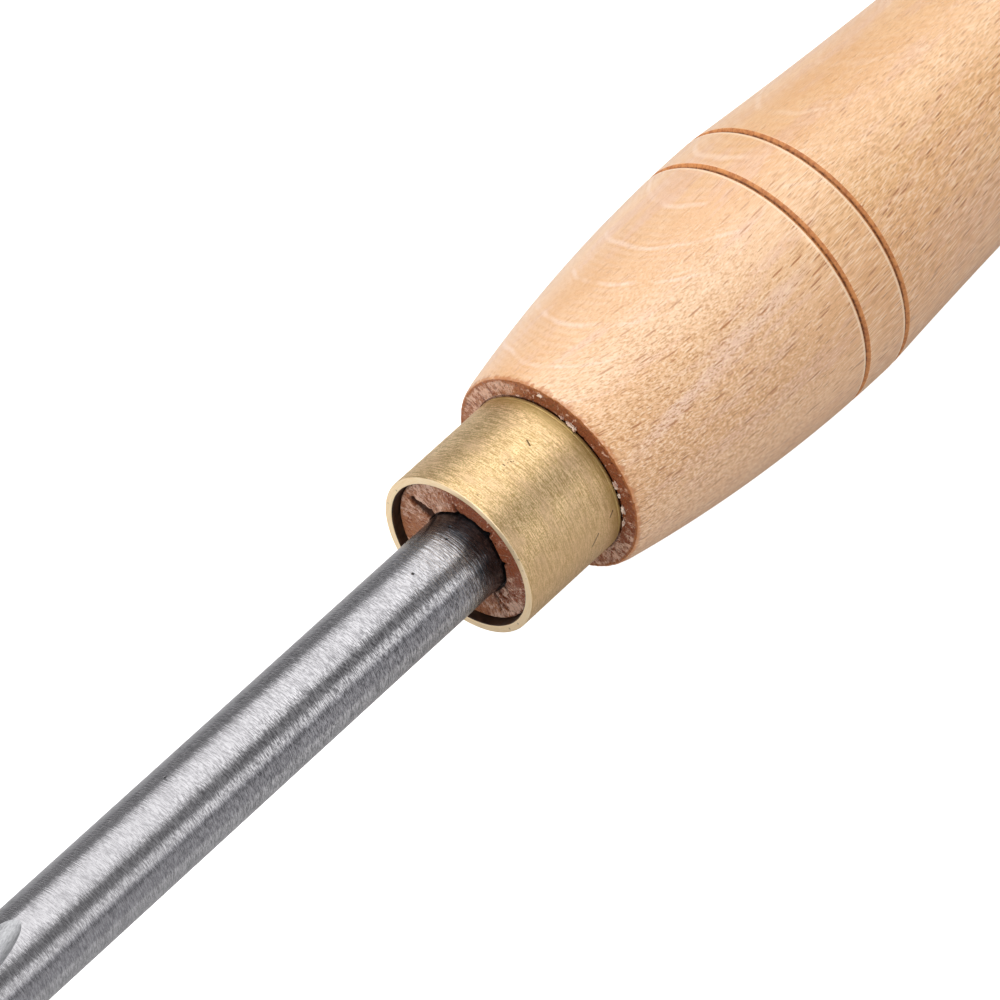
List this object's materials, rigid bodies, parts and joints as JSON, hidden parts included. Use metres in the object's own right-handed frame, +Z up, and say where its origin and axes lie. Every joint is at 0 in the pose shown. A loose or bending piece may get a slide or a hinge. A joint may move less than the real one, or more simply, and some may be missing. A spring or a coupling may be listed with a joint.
{
  "type": "woodturning gouge",
  "caption": "Woodturning gouge: round steel bar with a milled flute and swept-back ground edge, brass ferrule and turned beech handle with grip grooves.",
  "frame": {"origin": "under the middle of the tool's length, level with the lowest line of the handle's belly", "axes": "+X along the handle's axis towards the butt, so the cutting edge points towards -X; +Z up, the side on which the flute opens, within 6 degrees"},
  "size_m": [0.405, 0.0326, 0.0326],
  "materials": {
    "steel": "satin, fine grinding lines round the bar",
    "beech": "satin lacquer over fine flecked grain, bare brown end grain",
    "brass": "satin, fine turning lines, light scratches",
    "epoxy": "cured resin, slightly cloudy"
  },
  "bodies": {
    "root": {"gouge_blade": "steel", "handle": "beech", "ferrule": "brass", "shank_adhesive": "epoxy", "ferrule_adhesive": "epoxy"}
  },
  "joints": []
}
